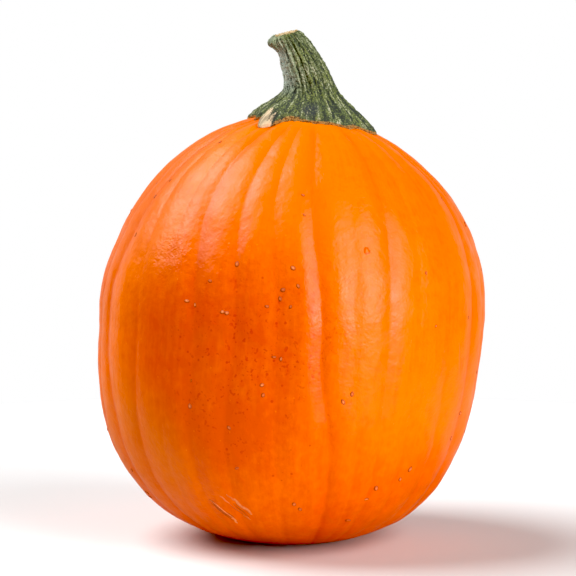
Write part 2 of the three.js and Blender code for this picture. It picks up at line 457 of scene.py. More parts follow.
def apply_tree(piece, tree, inputs):
    """Runs a tree on a piece with these inputs, and leaves the result as its plain mesh."""
    modifier = piece.modifiers.new(tree.name, "NODES")
    modifier.node_group = tree
    identifiers = {
        item.name: item.identifier for item in tree.interface.items_tree if item.in_out == "INPUT"
    }
    for label, value in inputs.items():
        modifier[identifiers[label]] = value
    depsgraph = bpy.context.evaluated_depsgraph_get()
    mesh = bpy.data.meshes.new_from_object(piece.evaluated_get(depsgraph), depsgraph=depsgraph)
    piece.modifiers.clear()
    piece.data = mesh
    mesh.name = piece.name
    return piece


def read_attribute(maker, name, kind="FLOAT"):
    node = maker.add("GeometryNodeInputNamedAttribute", {"Name": name}, data_type=kind)
    return next(socket for socket in node.outputs if socket.enabled)


def store_attribute(maker, geometry, name, value):
    inputs = {"Geometry": geometry, "Name": name, "Value": value}
    node = maker.add("GeometryNodeStoreNamedAttribute", inputs, data_type="FLOAT", domain="POINT")
    return node.outputs[0]


def pushed_out(maker, geometry, distance):
    """The geometry with its points moved along their normals."""
    normal = maker.add("GeometryNodeInputNormal").outputs["Normal"]
    offset = maker.scaled(normal, distance)
    return maker.add("GeometryNodeSetPosition", {"Geometry": geometry, "Offset": offset}).outputs[0]


def uneven(maker, vector, size, height, seed, detail=2.0):
    """Noise of a size and height in metres, round zero."""
    noise = maker.noise(vector, maker.math("DIVIDE", 1.0, size), detail, 0.5, seed)
    return maker.product(maker.swing(noise, 2.0), height)


# Materials

def new_material(name):
    material = bpy.data.materials.new(name)
    material.use_nodes = True
    material.node_tree.nodes.clear()
    maker = Maker(material.node_tree)
    shader = maker.add("ShaderNodeBsdfPrincipled")
    maker.add("ShaderNodeOutputMaterial", {"Surface": shader.outputs[0]})
    return material, maker, shader


def mesh_value(maker, name):
    return maker.add("ShaderNodeAttribute", attribute_name=name).outputs["Fac"]


def mesh_vector(maker, name):
    return maker.add("ShaderNodeAttribute", attribute_name=name).outputs["Vector"]


def object_place(maker):
    return maker.add("ShaderNodeTexCoord").outputs["Object"]


def put_surface(maker, shader, base, layers, roughness, gloss, height=None):
    """Gives a shader its colour, a base with layers over it, each (how much of it shows, its colour), and
    its roughness, its gloss and a fine relief in metres."""
    colour = base
    for share, tone in layers:
        colour = maker.mixed(share, colour, tone)
    maker.put(shader.inputs["Base Color"], colour)
    maker.put(shader.inputs["Roughness"], roughness)
    maker.put(shader.inputs["Specular IOR Level"], gloss)
    if height is not None:
        bump = maker.add("ShaderNodeBump", {"Height": height, "Distance": 1.0, "Strength": 1.0})
        maker.put(shader.inputs["Normal"], bump.outputs[0])


def dots(maker, vector, spacing, radius, seed_shift, share):
    """Small round dots: 1 at a dot's middle and 0 from its radius outwards. Share is how many of the
    cells hold one, from 0 to 1, and it may come from another node."""
    moved = maker.add("ShaderNodeVectorMath", {0: vector, 1: seed_shift}, operation="ADD").outputs[0]
    cells = maker.add("ShaderNodeTexVoronoi", {"Vector": moved, "Scale": 1 / spacing})
    draw = maker.add("ShaderNodeSeparateColor", {"Color": cells.outputs["Color"]})
    size = maker.between(draw.outputs[1], 0.0, 1.0, 0.5 * radius / spacing, radius / spacing)
    near = maker.math("SUBTRACT", 1.0, maker.math("DIVIDE", cells.outputs["Distance"], size))
    here = maker.math("LESS_THAN", draw.outputs[0], share)
    return maker.math("MULTIPLY", maker.between(near, 0.0, 0.6), here)


SKIN_DEEP = (0.71, 0.084, 0.0008, 1)
SKIN_ORANGE = (0.90, 0.176, 0.0012, 1)
# The crown's painted light: the lighter yellow the skin is painted with where the top light falls.
SKIN_LIT_YELLOW = (0.92, 0.225, 0.0020, 1)
SKIN_OCHRE = (0.70, 0.175, 0.0020, 1)
SKIN_FRECKLE = (0.50, 0.020, 0.0010, 1)
SKIN_PALE_DOT = (0.95, 0.30, 0.040, 1)
SKIN_ROUGHNESS = (0.32, 0.48)  # least and most
SKIN_GLOSS = 0.30
# Heights in mm of the skin's finest relief: orange peel, pores and the wrinkled patch's creases
PEEL_HEIGHT, PORE_HEIGHT, CREASE_HEIGHT = 0.10, 0.34, 0.45
# Round dots: how far apart they can be, how wide, both in metres, and a shift of the pattern
PALE_DOTS = (0.0050, 0.0008, (0.3, 0.1, 0.7))
FRECKLES = (0.0052, 0.00115, (0.5, 0.2, 0.9))
# Ragged freckles: the pattern's scale in spots per metre, and the levels of it between which a spot begins
RAGGED_FRECKLES = [(330.0, 0.62, 0.70, 15.0), (560.0, 0.63, 0.72, 16.0)]


def make_skin_material(wart):
    """The rind, with a wart, a low bump in a darker ring, at a place in mm."""
    material, m, shader = new_material("orange_rind")
    place = object_place(m)
    distance = m.add("ShaderNodeVectorMath", {0: place, 1: wart * MM}, operation="DISTANCE")
    ragged = m.swing(m.noise(place, 500.0, 1.0, 0.5, 17.0), WART_RAGGED * MM)
    off_wart = m.sum(distance.outputs["Value"], ragged)
    wart_ring = m.product(
        m.between(off_wart, 0.25 * WART_RADIUS * MM, 0.6 * WART_RADIUS * MM),
        m.between(off_wart, WART_RADIUS * MM, 0.7 * WART_RADIUS * MM),
    )
    grain = mesh_vector(m, "grain")
    broad = m.noise(place, 16.0, 3.0, 0.55, 1.0)
    streaks = m.noise(m.stretched(grain, (1.0, 1.0, 0.06)), 260.0, 3.0, 0.6, 2.0)
    mottle = m.noise(place, 170.0, 4.0, 0.62, 3.0)
    flecks = m.noise(m.stretched(grain, (1.0, 1.0, 0.6)), 420.0, 2.0, 0.6, 9.0)
    # How deep the skin's colour runs: noise, with painted shade from the deep patch and towards the base.
    depth = m.sum(
        m.product(mesh_value(m, "deep_and_shaded"), 0.86),
        m.product(mesh_value(m, "baseward_shade"), 0.62),
        m.product(m.math("SUBTRACT", 0.5, broad), 1.1),
        m.swing(mottle, 1.0),
        m.swing(flecks, 0.6),
        m.swing(streaks, 0.7),
    )
    freckles = mesh_value(m, "freckles")
    layers = [
        (m.math("MAXIMUM", m.math("MINIMUM", depth, 1.0), 0.0), SKIN_DEEP),
        # painted light on the crown
        (mesh_value(m, "crownward"), SKIN_LIT_YELLOW),
        (mesh_value(m, "ochre"), SKIN_OCHRE),
        # painted shade in the furrows, the darker the deeper they are
        (m.product(mesh_value(m, "furrow"), 0.42), SKIN_DEEP),
        (m.product(dots(m, place, *PALE_DOTS, 0.30), 0.28), SKIN_PALE_DOT),
        (m.product(dots(m, place, *FRECKLES, m.product(freckles, 0.55)), 0.60), SKIN_FRECKLE),
    ]
    clusters = m.between(m.noise(place, 48.0, 2.0, 0.5, 8.0), 0.40, 0.58)
    for scale, start, full, seed in RAGGED_FRECKLES:
        spots = m.between(m.noise(place, scale, 1.0, 0.5, seed), start, full)
        layers.append((m.product(spots, freckles, clusters, 0.55), SKIN_FRECKLE))
    layers.append((m.product(wart_ring, 0.75), SKIN_DEEP))
    roughness = m.between(m.noise(place, 90.0, 3.0, 0.6, 4.0), 0.25, 0.75, *SKIN_ROUGHNESS)
    peel = m.noise(place, 800.0, 2.0, 0.5, 5.0)
    pores = m.noise(place, 300.0, 2.0, 0.5, 6.0)
    crease = m.noise(place, 430.0, 2.0, 0.5, 7.0, 1.2)
    height = m.sum(
        m.product(peel, PEEL_HEIGHT * MM),
        m.product(pores, PORE_HEIGHT * MM),
        m.product(crease, mesh_value(m, "wrinkle"), CREASE_HEIGHT * MM),
        m.product(m.between(off_wart, WART_RADIUS * MM, 0.2 * WART_RADIUS * MM), WART_HEIGHT * MM),
    )
    put_surface(m, shader, SKIN_ORANGE, layers, roughness, SKIN_GLOSS, height)
    return material


BARK_GROOVE = (0.052, 0.060, 0.048, 1)
BARK_GREEN = (0.120, 0.145, 0.060, 1)
BARK_OLIVE = (0.190, 0.220, 0.060, 1)
BARK_CREST = (0.350, 0.365, 0.240, 1)
# Pale grey bark, partly painted light on the stem's left side.
BARK_GREY = (0.640, 0.750, 0.660, 1)
BARK_SCURF = (0.600, 0.610, 0.430, 1)
BARK_MOULD = (0.055, 0.062, 0.060, 1)
RIM_TAN = (0.430, 0.210, 0.065, 1)
RIM_BROWN = (0.180, 0.065, 0.025, 1)
CUT_TAN = (0.480, 0.300, 0.120, 1)
CUT_PALE = (0.760, 0.620, 0.380, 1)
FLAKE_PALE = (0.720, 0.560, 0.360, 1)
FLAKE_DARK = (0.330, 0.260, 0.170, 1)
RIM_GOLD = (0.400, 0.245, 0.085, 1)
SCALE_HEIGHT, GRIT_HEIGHT = 0.70, 0.45  # the bark's finest relief, in mm


def make_bark_material():
    """Dark green bark with paler crests, a grey side, a dead lobe, a tan rim and a pale cut end."""
    material, m, shader = new_material("stem_bark")
    place = object_place(m)
    grain = mesh_vector(m, "grain")
    strands = m.noise(m.stretched(grain, (1.0, 1.0, 0.14)), 950.0, 2.0, 0.6, 11.0)
    scales = m.noise(m.stretched(grain, (1.0, 1.0, 0.45)), 850.0, 2.0, 0.6, 12.0)
    grit = m.noise(place, 1100.0, 2.0, 0.6, 14.0)
    patches = m.noise(place, 120.0, 3.0, 0.6, 13.0)
    crest = m.sum(
        m.product(mesh_value(m, "crest"), 0.24),
        m.product(mesh_value(m, "strand"), 0.60),
        m.swing(scales, 2.0),
        m.swing(strands, 1.6),
        m.swing(grit, 2.4),
        # painted light on the upper left and painted shade on the foot
        m.product(mesh_value(m, "side"), 0.36),
        0.32,
    )
    olive = m.product(m.between(patches, 0.42, 0.62), m.between(crest, 0.25, 0.50), 0.75)
    grey = m.product(mesh_value(m, "grey"), m.between(crest, -0.05, 0.40), 0.90)
    scurf = m.sum(m.swing(grit, 1.0), m.swing(strands, 1.4), m.product(crest, 0.35))
    pits = m.between(m.sum(grit, m.product(crest, 0.15)), 0.46, 0.38)
    pale = m.sum(mesh_value(m, "pale"), m.swing(strands, 1.8), m.swing(grit, 1.2))
    flake = m.mixed(m.between(strands, 0.40, 0.56), FLAKE_DARK, FLAKE_PALE)
    torn = m.sum(1.15, m.swing(patches, 3.2), m.swing(grit, 2.0))
    torn = m.product(torn, m.between(mesh_value(m, "pale"), 0.6, 0.2))
    rim = m.product(mesh_value(m, "rim"), torn)
    rim_colour = m.mixed(mesh_value(m, "golden"), RIM_TAN, RIM_GOLD)
    rim_colour = m.mixed(m.between(grit, 0.40, 0.54), RIM_BROWN, rim_colour)
    cut = m.sum(mesh_value(m, "cut"), m.swing(scales, 1.5))
    cut_colour = m.mixed(m.between(grit, 0.40, 0.60), CUT_TAN, CUT_PALE)
    layers = [
        (m.between(crest, -0.04, 0.34), BARK_GREEN),
        (m.product(m.between(crest, 0.42, 0.85), 0.85), BARK_CREST),
        (olive, BARK_OLIVE),
        (grey, BARK_GREY),
        (m.product(m.between(scurf, 0.34, 0.60), 0.50), BARK_SCURF),
        (m.product(pits, 0.85), BARK_GROOVE),
        (m.product(mesh_value(m, "mould"), m.between(grit, 0.70, 0.50)), BARK_MOULD),
        (m.between(pale, 0.34, 0.70), flake),
        (m.between(rim, 0.35, 0.65), rim_colour),
        (m.between(cut, 0.35, 0.65), cut_colour),
    ]
    height = m.sum(m.product(scales, SCALE_HEIGHT * MM), m.product(grit, GRIT_HEIGHT * MM))
    put_surface(m, shader, BARK_GROOVE, layers, 0.85, 0.25, height)
    return material


# A reddish ring, partly painted shade round the foot of each lump.
CORK_RING_AND_SHADE = (0.440, 0.075, 0.020, 1)
CORK_TAN = (0.690, 0.155, 0.045, 1)
CORK_PALE = (0.860, 0.310, 0.110, 1)


def make_cork_material():
    """Cork, pale where it stands high, in a reddish ring that is partly painted shade round a lump's foot.
    """
    material, m, shader = new_material("cork")
    flecks = m.noise(object_place(m), 1500.0, 3.0, 0.6, 21.0)
    lift = m.product(mesh_value(m, "lift"), mesh_value(m, "paleness"))
    height = m.sum(lift, m.swing(flecks, 0.5))
    layers = [(m.between(height, 0.15, 0.45), CORK_TAN), (m.between(height, 0.50, 0.85), CORK_PALE)]
    put_surface(m, shader, CORK_RING_AND_SHADE, layers, 0.7, 0.3, m.product(flecks, 0.15 * MM))
    return material


def make_flake_material():
    material, m, shader = new_material("dry_flake")
    place = object_place(m)
    flecks = m.noise(place, 1100.0, 3.0, 0.6, 22.0)
    patches = m.noise(place, 140.0, 2.0, 0.5, 23.0)
    layers = [(m.between(flecks, 0.40, 0.60), RIM_TAN), (m.between(patches, 0.50, 0.36), BARK_GROOVE)]
    put_surface(m, shader, RIM_BROWN, layers, 0.85, 0.2)
    return material


def make_floor_material():
    material, m, shader = new_material("pale_floor")
    in_gloss = m.add("ShaderNodeLightPath").outputs["Is Glossy Ray"]
    plain, darker = ((tone, tone, tone, 1) for tone in (FLOOR_TONE, FLOOR_GLOSS_TONE))
    put_surface(m, shader, plain, [(in_gloss, darker)], 0.9, 0.1)
    return material


# Round patches on the skin: mm across and up from the belly's centre, as the camera of the photo sees them,
# radius, strength, and the share of the radius that has it in full
SKIN_PATCHES = {
    "wrinkle": (-72.5, 38.0, 21, 1.0, 0.35),
    "freckles": (-22.0, -34.0, 75, 1.0, 0.35),
    "ochre": (-92.0, -85.0, 65, 0.45, 0.35),
    # a redder, darker patch low on the front's left: partly the skin's own deeper colour, partly painted
    # shade where less light reaches
    "deep_and_shaded": (-48.0, -22.0, 92, 1.0, 0.35),
}
WART_PLACE = (44.4, 38.9)
WART_RADIUS = 2.4
WART_HEIGHT = 0.35
WART_RAGGED = 1.2

# The skin. Towards the crown its furrows grow softer than in the solids, and the rib on the left of the
# front's deepest furrow swells to a shoulder beside it.
CROWN_SOFTENS = (2, 40)
CROWN_WIDENING = 0.5
CROWN_LEVELLING = 0.25
SHOULDER_FURROW = 8.3
SHOULDER_HEIGHT = 0.6
SHOULDER_AWAY = 4.4
SHOULDER_WIDTH = 2.6
SHOULDER_STARTS = (-60, -35)  # the latitudes over which it grows, and those over which it ends
SHOULDER_ENDS = (25, 50)
BLOSSOM_SCAR_DEPTH = 1.8  # how far the skin draws in under the fruit
FURROW_SHADE_FULL = 1.5  # depth in mm at which a furrow's painted shade is full
CROWN_LIGHT_YELLOWING = 0.36  # painted light: how much yellower and lighter the skin is painted at the crown, where the top light falls
CROWN_LIGHT_LATITUDES = (30, 78)  # the latitudes over which that painted light comes in
RIGHT_LIGHT_LOSS = 0.8  # the share of that painted light which the right side, away from the top light, goes without
BASE_SHADE_LATITUDES = (2, 40)  # degrees below the belly over which the skin is painted deeper and darker: painted shade towards the base


def make_skin():
    """The fruit's skin: smooth rings of points that carry what the tree needs to rib them."""
    furrows = furrow_table()
    after = np.roll(furrows, -1, axis=0)
    after[-1, 0] += 360
    left, right, share = [], [], []
    for k in range(len(furrows)):
        columns = round((after[k, 0] - furrows[k, 0]) / COLUMN_STEP)
        left += [furrows[k]] * columns
        right += [after[k]] * columns
        share += [i / columns for i in range(columns)]
    left, right, share = np.array(left), np.array(right), np.array(share)
    latitude = (FLAT_LATITUDE + (90 - FLAT_LATITUDE) * np.arange(SKIN_ROWS) / SKIN_ROWS)[:, None]
    start = furrow_azimuth(left[None], latitude)
    span = furrow_azimuth(right[None], latitude) - start
    azimuth = start + span * share
    latitudes = np.broadcast_to(latitude, azimuth.shape)
    rings = skin_points(azimuth, latitudes)

    # The flat spot: level out to its edge, and drawn in a little at the blossom scar in its middle.
    inward = np.arange(1, BASE_RINGS + 1)[:, None] / (BASE_RINGS + 1)
    flat = np.zeros((BASE_RINGS, azimuth.shape[1], 3))
    flat[..., :2] = rings[0][None, :, :2] * inward[..., None]
    flat[..., 2] = BLOSSOM_SCAR_DEPTH * (1 - rise(inward, 0.1, 0.55))
    rings[0, :, 2] = 0
    rings = np.concatenate([flat, rings])

    def on_rings(values, flat_value=None):
        """Values of the rows above the flat spot, with the first row's repeated over it."""
        first = values[:1] if flat_value is None else np.full_like(values[:1], flat_value)
        return with_ends(np.concatenate([np.repeat(first, BASE_RINGS, axis=0), values]))

    show = rib_show(latitudes)
    widening = 1 + CROWN_WIDENING * rise(latitudes, *CROWN_SOFTENS)
    kept = 1 - CROWN_LEVELLING * rise(latitudes, *CROWN_SOFTENS)
    before_crease = np.broadcast_to(right[None, :, 0] == SHOULDER_FURROW, azimuth.shape)
    shoulder = SHOULDER_HEIGHT * bell(span * (1 - share) - SHOULDER_AWAY, SHOULDER_WIDTH) * before_crease
    shoulder = shoulder * rise(latitudes, *SHOULDER_STARTS) * (1 - rise(latitudes, *SHOULDER_ENDS))
    t = np.radians(azimuth)
    along = np.radians(latitudes) * BELLY_RADIUS
    grain = np.stack([np.sin(t) * BELLY_RADIUS, -np.cos(t) * BELLY_RADIUS, along], -1) * MM
    # Painted light: the crown is painted yellower and lighter where the top light falls, and less so on the
    # right, away from it.
    rightward = rise(np.sin(t) * np.cos(np.radians(latitudes)), -0.15, 0.45)
    crownward = CROWN_LIGHT_YELLOWING * rise(latitudes, *CROWN_LIGHT_LATITUDES) * (1 - RIGHT_LIGHT_LOSS * rightward)
    values = {
        "away_left": on_rings(span * share / widening),
        "away_right": on_rings(span * (1 - share) / widening),
        "depth_left": on_rings(furrow_depth(left[None], latitude) * show * kept * MM),
        "depth_right": on_rings(furrow_depth(right[None], latitude) * show * kept * MM),
        "shoulder": on_rings(shoulder * MM),
        "share": on_rings(np.broadcast_to(share, azimuth.shape)),
        "show": on_rings(show, 0.0),
        "grain": on_rings(grain),
        "crownward": on_rings(crownward),
        # painted shade towards the base
        "baseward_shade": on_rings(rise(-latitudes, *BASE_SHADE_LATITUDES)),
    }
    mesh = ring_mesh("fruit_skin", rings, (0, 0, BLOSSOM_SCAR_DEPTH), CROWN, values)

    tree = surface_of(mesh)
    material = make_skin_material(seen_at(tree, *WART_PLACE)[0])
    add_patches(mesh, tree, SKIN_PATCHES)
    piece = add_object("fruit_skin", mesh)
    inputs = {
        "Rib swell": RIB_SWELL * MM,
        "Furrow width": FURROW_WIDTH,
        "Furrow sharpness": FURROW_SHARPNESS,
        "Lump height": 0.85 * MM,
        "Lump size": 30 * MM,
        "Dimple height": 0.50 * MM,
        "Dimple size": 9 * MM,
        "Ripple height": 0.12 * MM,
        "Ripple size": 6 * MM,
        "Wrinkle height": 0.42 * MM,
        "Wrinkle size": 5.2 * MM,
        "Seed": 3,
        "Material": material,
    }
    return apply_tree(piece, make_skin_tree(inputs), inputs)


def make_skin_tree(inputs):
    """Ribs between their furrows, with soft lumps, dimples and lengthwise ripples on them."""
    tree, m, given = geometry_tree("ribbed_skin", inputs)
    floors = []
    for side in ("left", "right"):
        away = m.math("DIVIDE", read_attribute(m, "away_" + side), given["Furrow width"])
        fall = m.math("EXPONENT", m.product(m.math("POWER", away, given["Furrow sharpness"]), -1.0))
        floors.append(m.math("MULTIPLY", read_attribute(m, "depth_" + side), fall))
    valley = m.math("ADD", *floors)
    share = read_attribute(m, "share")
    arch = m.math("SINE", m.product(share, math.pi))
    swell = m.product(arch, given["Rib swell"], read_attribute(m, "show"))
    place = m.add("GeometryNodeInputPosition").outputs[0]
    lengthwise = m.stretched(read_attribute(m, "grain", "FLOAT_VECTOR"), (1.0, 1.0, 0.12))

    def layer(name, vector, detail=2.0):
        return uneven(m, vector, given[name + " size"], given[name + " height"], given["Seed"], detail)

    fine = m.sum(layer("Lump", place, 1.0), layer("Dimple", place), layer("Ripple", lengthwise))
    fine = m.product(fine, read_attribute(m, "show"))
    wrinkles = m.product(layer("Wrinkle", place), read_attribute(m, "wrinkle"))
    relief = m.sum(m.math("SUBTRACT", swell, valley), read_attribute(m, "shoulder"), fine, wrinkles)
    # Each point's depth in its furrow, for the painted shade in the furrows.
    geometry = store_attribute(m, given["Geometry"], "furrow", m.math("DIVIDE", valley, FURROW_SHADE_FULL * MM))
    close_tree(m, given, pushed_out(m, geometry, relief))
    return tree


# The stem

EDGE_ROUNDING = 1.6
EDGE_HEIGHT = 3.0
KNOB_END = (-8.5, -5.0)  # across from the cut end's middle: the knob to the left of it is bark
# Golden stretches of the foot's rim: azimuth and half width in degrees, and how golden. Where it is less
# golden, the rim is a thinner, darker tan band; near 18 degrees that band is partly a painted shadow line
# under the foot's edge.
GOLDEN_RIM = [(-22, 16, 1.0), (18, 10, 0.35), (46, 10, 0.8)]
# The dead, pale lobe: azimuth and half width in degrees, the radius where it begins, how far it takes to
# grow pale
PALE_LOBE = (-42, 8.5, 29.5, 11)
STEM_PATCHES = {"mould": (10.5, 123.0, 7, 0.95, 0.4)}
GREY_LIT_SIDE = (-75, 40)  # azimuth and half width in degrees of the grey side: grey bark, painted paler where the top light falls on the left
GREY_START = (9, 22)  # the levels over which it turns grey
GREY_END = (37, 43)  # and those over which it loses most of that again
GREY_LOST = 0.75
PAINTED_LIGHT_SIDE = (-58, 50)  # the same for the side painted with paler ridges: painted light where the top light falls on the upper left
STEM_SUNK = -1.5  # the bark's lowest level, under the skin
CUT_EDGE = 0.9  # the height over which bark turns to cut
CUT_GRAIN = 8  # how far the grain runs on over the cut


def make_stem(material):
    """The stem: smooth rings of points from under the foot up to the middle of the cut end."""
    numbers = random_from(SEED + 1)
    ridges = []
    for k in range(STEM_RIDGES):
        azimuth = 360 / STEM_RIDGES * k + RIDGE_JITTER * (2 * next(numbers) - 1)
        ridges.append((azimuth, RIDGE_HEIGHTS[k % len(RIDGE_HEIGHTS)] * (0.85 + 0.3 * next(numbers))))
    azimuth, ridge, share = [], [], []
    for k, (start, height) in enumerate(ridges):
        end = ridges[k + 1][0] if k + 1 < STEM_RIDGES else ridges[0][0] + 360
        for i in range(RIDGE_COLUMNS):
            share.append(i / RIDGE_COLUMNS)
            azimuth.append(start + (end - start) * share[-1])
            ridge.append(height)
    azimuth, ridge, share = np.array(azimuth), np.array(ridge), np.array(share)
    level = STEM_SUNK + (STEM_HEIGHT - STEM_SUNK) * np.arange(BARK_LEVELS) / (BARK_LEVELS - 1)
    azimuths = np.broadcast_to(azimuth, (BARK_LEVELS, len(azimuth)))
    levels = np.broadcast_to(level[:, None], azimuths.shape)
    rounding = EDGE_ROUNDING * rise(levels, STEM_HEIGHT - EDGE_HEIGHT, STEM_HEIGHT) ** 2
    rings = stem_points(azimuths, levels, -rounding)
    inner = over_crown(azimuth, 0.5 * stem_radius(azimuth, STEM_SUNK), STEM_SUNK)[None]
    into = (np.arange(CUT_RINGS, 0, -1) / (CUT_RINGS + 1))[:, None]
    cut_radius = into * (stem_radius(azimuth, STEM_HEIGHT)[None] - EDGE_ROUNDING)
    dip = CUT_DEPTH * (1 - rise(into, 0.25, 0.95)) + 0.5 * bell(into - 0.55, 0.12)
    cut = on_stalk(np.broadcast_to(azimuth, cut_radius.shape), cut_radius, STEM_HEIGHT - dip)
    rings = np.concatenate([inner, rings, cut])

    def on_rings(values, inner_value=0.0, cut_value=0.0):
        first = np.full((1, len(azimuth)), inner_value)
        last = np.full((CUT_RINGS, len(azimuth)), cut_value)
        return with_ends(np.concatenate([first, np.broadcast_to(values, azimuths.shape), last]))

    def around(place, width):
        """1 at an azimuth of the stem, falling to nothing on both sides."""
        return bell(turns_apart(azimuths, place), width)

    t = np.radians(azimuths)
    grain = np.stack([np.sin(t) * NECK_RADIUS, -np.cos(t) * NECK_RADIUS, levels], -1) * MM
    cut_grain = np.broadcast_to(grain[-1:], (CUT_RINGS, *grain.shape[1:])).copy()
    cut_grain[..., 2] += CUT_GRAIN * MM * into
    grain = with_ends(np.concatenate([grain[:1], grain, cut_grain]))
    radius = stem_radius(azimuths, levels)
    across = with_ends(rings[..., 0] - CROWN[0] - STEM_LEAN)
    lobe_azimuth, lobe_width, lobe_radius, lobe_fade = PALE_LOBE
    pale = around(lobe_azimuth, lobe_width) * rise(radius, lobe_radius, lobe_radius + lobe_fade)
    full = rise(levels, 0, RIDGE_START)
    golden = sum(gold * around(place, width) for place, width, gold in GOLDEN_RIM)
    # The grey side: grey bark, partly painted light from the upper left.
    grey = around(*GREY_LIT_SIDE) * rise(levels, *GREY_START) * (1 - GREY_LOST * rise(levels, *GREY_END))
    # Painted light and shade: the upper bark on the left, facing the top light, is painted with paler
    # ridges, and the foot is painted darker.
    side = (0.15 + 0.90 * around(*PAINTED_LIGHT_SIDE)) * rise(levels, 10, 26) - 0.54
    cut_share = on_rings(rise(levels, STEM_HEIGHT - CUT_EDGE, STEM_HEIGHT), 0.0, 1.0)
    values = {
        "ridge": on_rings(ridge * full * MM),
        "share": on_rings(share),
        "full": on_rings(full),
        "grain": grain,
        "pale": on_rings(pale),
        "rim": on_rings(1 - rise(levels, 0.1, 1.5 + 2.6 * golden), 1.0),
        "grey": on_rings(grey),
        "side": on_rings(side),
        "cut": cut_share * rise(across, *KNOB_END),
        "golden": on_rings(golden),
    }
    low_end = over_crown(0.0, 0.0, STEM_SUNK)
    high_end = on_stalk(0.0, 0.0, STEM_HEIGHT - CUT_DEPTH)
    mesh = ring_mesh("stem_bark", rings, low_end, high_end, values)
    add_patches(mesh, surface_of(mesh), STEM_PATCHES)
    piece = add_object("stem_bark", mesh)
    inputs = {
        "Crest sharpness": 1.0,
        "Break size": 7 * MM,
        "Strand height": 1.1 * MM,
        "Strand size": 1.8 * MM,
        "Knob height": 0.70 * MM,
        "Knob size": 1.8 * MM,
        "Seed": 5,
        "Material": material,
    }
    return apply_tree(piece, make_bark_tree(inputs), inputs)


def make_bark_tree(inputs):
    """Ridges with fine strands and knobs along them."""
    tree, m, given = geometry_tree("ridged_bark", inputs)
    arch = m.math("SINE", m.product(read_attribute(m, "share"), math.pi))
    crest = m.math("POWER", arch, given["Crest sharpness"])
    place = m.add("GeometryNodeInputPosition").outputs[0]
    broken = uneven(m, place, given["Break size"], 1.2, given["Seed"], 1.0)
    ridge = m.product(m.math("SUBTRACT", crest, 0.5), read_attribute(m, "ridge"), m.sum(broken, 0.75))
    lengthwise = m.stretched(read_attribute(m, "grain", "FLOAT_VECTOR"), (1.0, 1.0, 0.12))
    strand = uneven(m, lengthwise, given["Strand size"], 1.0, given["Seed"])
    knobs = uneven(m, place, given["Knob size"], given["Knob height"], given["Seed"])
    full = read_attribute(m, "full")
    relief = m.sum(ridge, m.product(strand, given["Strand height"], full), knobs)
    geometry = store_attribute(m, given["Geometry"], "crest", crest)
    geometry = store_attribute(m, geometry, "strand", strand)
    close_tree(m, given, pushed_out(m, geometry, relief))
    return tree


# Corky specks on the skin

# The front's specks, as the camera sees them: mm across and up, and their length in mm
FRONT_SPECKS = [
    (-32.8, 31.2, 2.8), (0.5, 28.9, 2.7), (-5.5, 15.8, 2.6), (-7.2, 10.5, 2.6), (-62.5, 9.3, 3.0),
    (-57.7, 6.9, 2.3), (-48.8, 21.1, 2.4), (-41.4, 2.8, 2.4), (-38.8, 2.1, 2.5), (-15.0, 6.0, 2.2),
    (3.5, 18.1, 2.4), (-1.0, 5.8, 1.9), (-10.8, -24.0, 2.4), (-6.7, -25.2, 2.4), (-17.9, -40.6, 2.4),
    (-17.3, -46.6, 2.3), (35.5, -46.0, 2.6), (30.2, -50.7, 3.0), (-60.7, -53.1, 2.8), (-32.8, -89.9, 2.4),
    (1.1, -111.3, 2.5), (4.6, -114.3, 2.6), (33.1, -120.8, 3.0), (43.8, -108.3, 2.9), (49.8, -101.8, 3.3),
    (64.0, -96.5, 2.6), (69.9, -90.5, 3.2), (79.5, 25.9, 1.8), (85.4, -5.6, 1.6), (94.3, -72.1, 2.6),
    (99.7, -57.3, 2.4), (-42.9, 103.7, 2.4), (6.4, 72.2, 1.9), (7.1, 60.4, 1.7), (-60.0, -38.0, 1.7),
    (-37.5, -66.0, 2.4),
]
SPECK_SPREAD = 1.25  # the ring round a speck's pale middle, partly painted shade round its foot
OTHER_SPECKS = 70  # round the sides and back, drawn by lot
SPECK_LATITUDES = (-58, 52)
SPECK_SHAPE = (0.22, 0.16)  # a lump's height as a share of its length, and how uneven it is


def make_speck_tree(name, inputs):
    """Lumps of cork set on points, each along its point's facing, turned and sized by its own values."""
    tree, m, given = geometry_tree(name, inputs)
    ball = m.add("GeometryNodeMeshIcoSphere", {"Radius": 0.5, "Subdivisions": 2}).outputs[0]
    place = m.add("GeometryNodeInputPosition").outputs[0]
    bumps = uneven(m, place, 0.45, given["Unevenness"], given["Seed"])
    lump = pushed_out(m, ball, bumps)
    flat = m.stretched(place, (1.0, 1.0, 0.0))
    off_axis = m.add("ShaderNodeVectorMath", {0: flat}, operation="LENGTH").outputs["Value"]
    lump = store_attribute(m, lump, "lift", m.between(off_axis, 0.46, 0.10))
    size = read_attribute(m, "size")
    slim = m.product(size, read_attribute(m, "slimness"))
    tall = m.product(size, given["Height share"])
    scale = m.add("ShaderNodeCombineXYZ", {0: size, 1: slim, 2: tall}).outputs[0]
    facing = read_attribute(m, "facing", "FLOAT_VECTOR")
    stand = m.add("FunctionNodeAlignRotationToVector", {"Vector": facing}, axis="Z").outputs[0]
    turn = read_attribute(m, "turn")
    spin = m.add("FunctionNodeAxisAngleToRotation", {"Axis": (0.0, 0.0, 1.0), "Angle": turn})
    turned = m.add(
        "FunctionNodeRotateRotation",
        {"Rotation": stand, "Rotate By": spin.outputs[0]},
        rotation_space="LOCAL",
    ).outputs[0]
    placed = m.add(
        "GeometryNodeInstanceOnPoints",
        {"Points": given["Geometry"], "Instance": lump, "Rotation": turned, "Scale": scale},
    ).outputs[0]
    close_tree(m, given, placed)
    return tree


